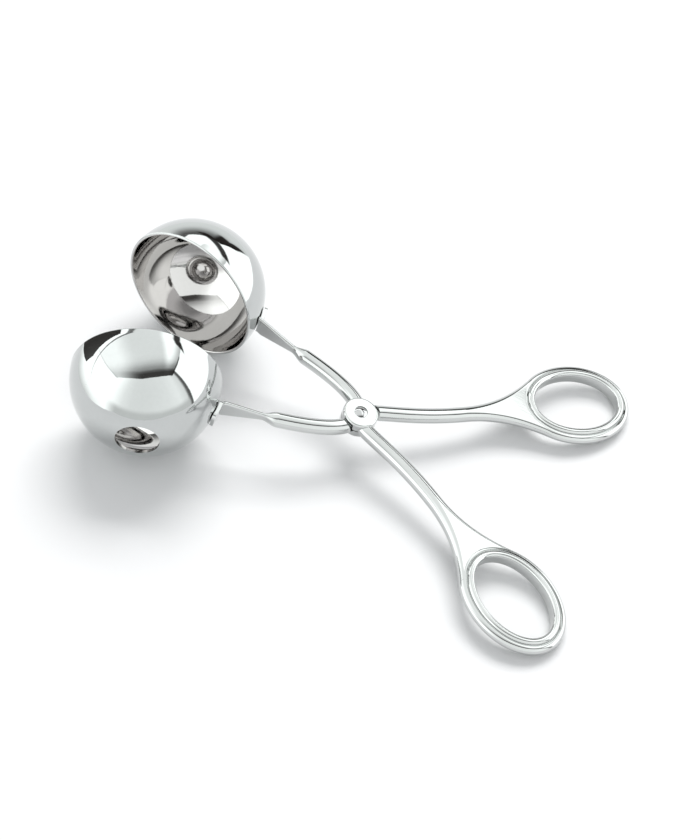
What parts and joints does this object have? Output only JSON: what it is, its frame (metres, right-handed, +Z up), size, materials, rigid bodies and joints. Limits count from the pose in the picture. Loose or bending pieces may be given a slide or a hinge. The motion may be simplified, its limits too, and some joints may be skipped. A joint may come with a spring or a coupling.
{
  "type": "meatball tongs",
  "caption": "Scissor-type meatball tongs: crossed steel levers on a rivet, hemispherical cups with a hole at the pole, oval beaded finger rings.",
  "frame": {"origin": "on the table, under the middle of the bounding box of the tongs as they lie part open", "axes": "+X along the tongs from the cups to the finger rings, +Y towards the rear cup, +Z up from the table"},
  "size_m": [0.1668, 0.1132, 0.0465],
  "materials": {
    "lever_steel": "polished",
    "cup_steel": "mirror polished",
    "rivet_steel": "polished"
  },
  "bodies": {
    "lower_half": {"lower_lever": "lever_steel", "front_cup": "cup_steel", "pivot_rivet": "rivet_steel"},
    "upper_half": {"upper_lever": "lever_steel", "rear_cup": "cup_steel"}
  },
  "joints": [
    {"name": "pivot", "type": "hinge", "parent": "lower_half", "child": "upper_half", "pos_m": [0.00296, 0, 0.01391], "axis": [0.1455, 0, 0.9894], "range_deg": [-25, 30.4]}
  ]
}
